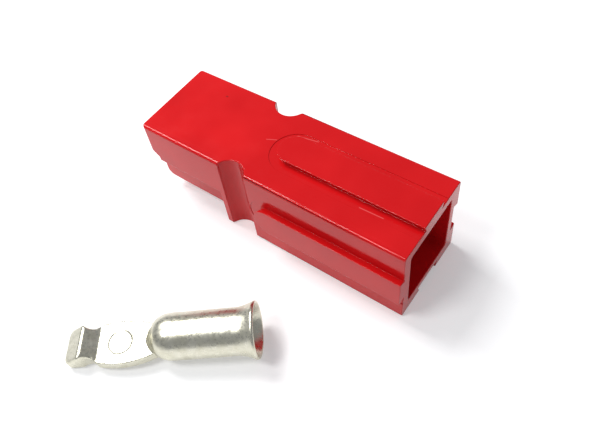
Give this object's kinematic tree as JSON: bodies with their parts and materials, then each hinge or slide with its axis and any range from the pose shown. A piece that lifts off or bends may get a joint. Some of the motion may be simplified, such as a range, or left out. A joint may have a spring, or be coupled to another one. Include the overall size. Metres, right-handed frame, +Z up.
{
  "type": "genderless power connector",
  "caption": "Square moulded connector housing with dovetail ribs, grooves and pin notches, with its crimp contact lying beside it.",
  "frame": {"origin": "middle of the housing's bottom face, at the mouth of its bottom groove", "axes": "+X along the housing from the mating end to the wire end, +Z up, -Y on the side where the loose contact lies"},
  "size_m": [0.0496, 0.0509, 0.017],
  "materials": {
    "red_plastic": "glossy moulded polycarbonate, fine scratches",
    "spring_steel": "bright rolled stainless strip",
    "silver_plate": "silver plating over copper, faintly mottled"
  },
  "bodies": {
    "root": {"housing": "red_plastic", "spring": "spring_steel", "contact": "silver_plate"}
  },
  "joints": []
}
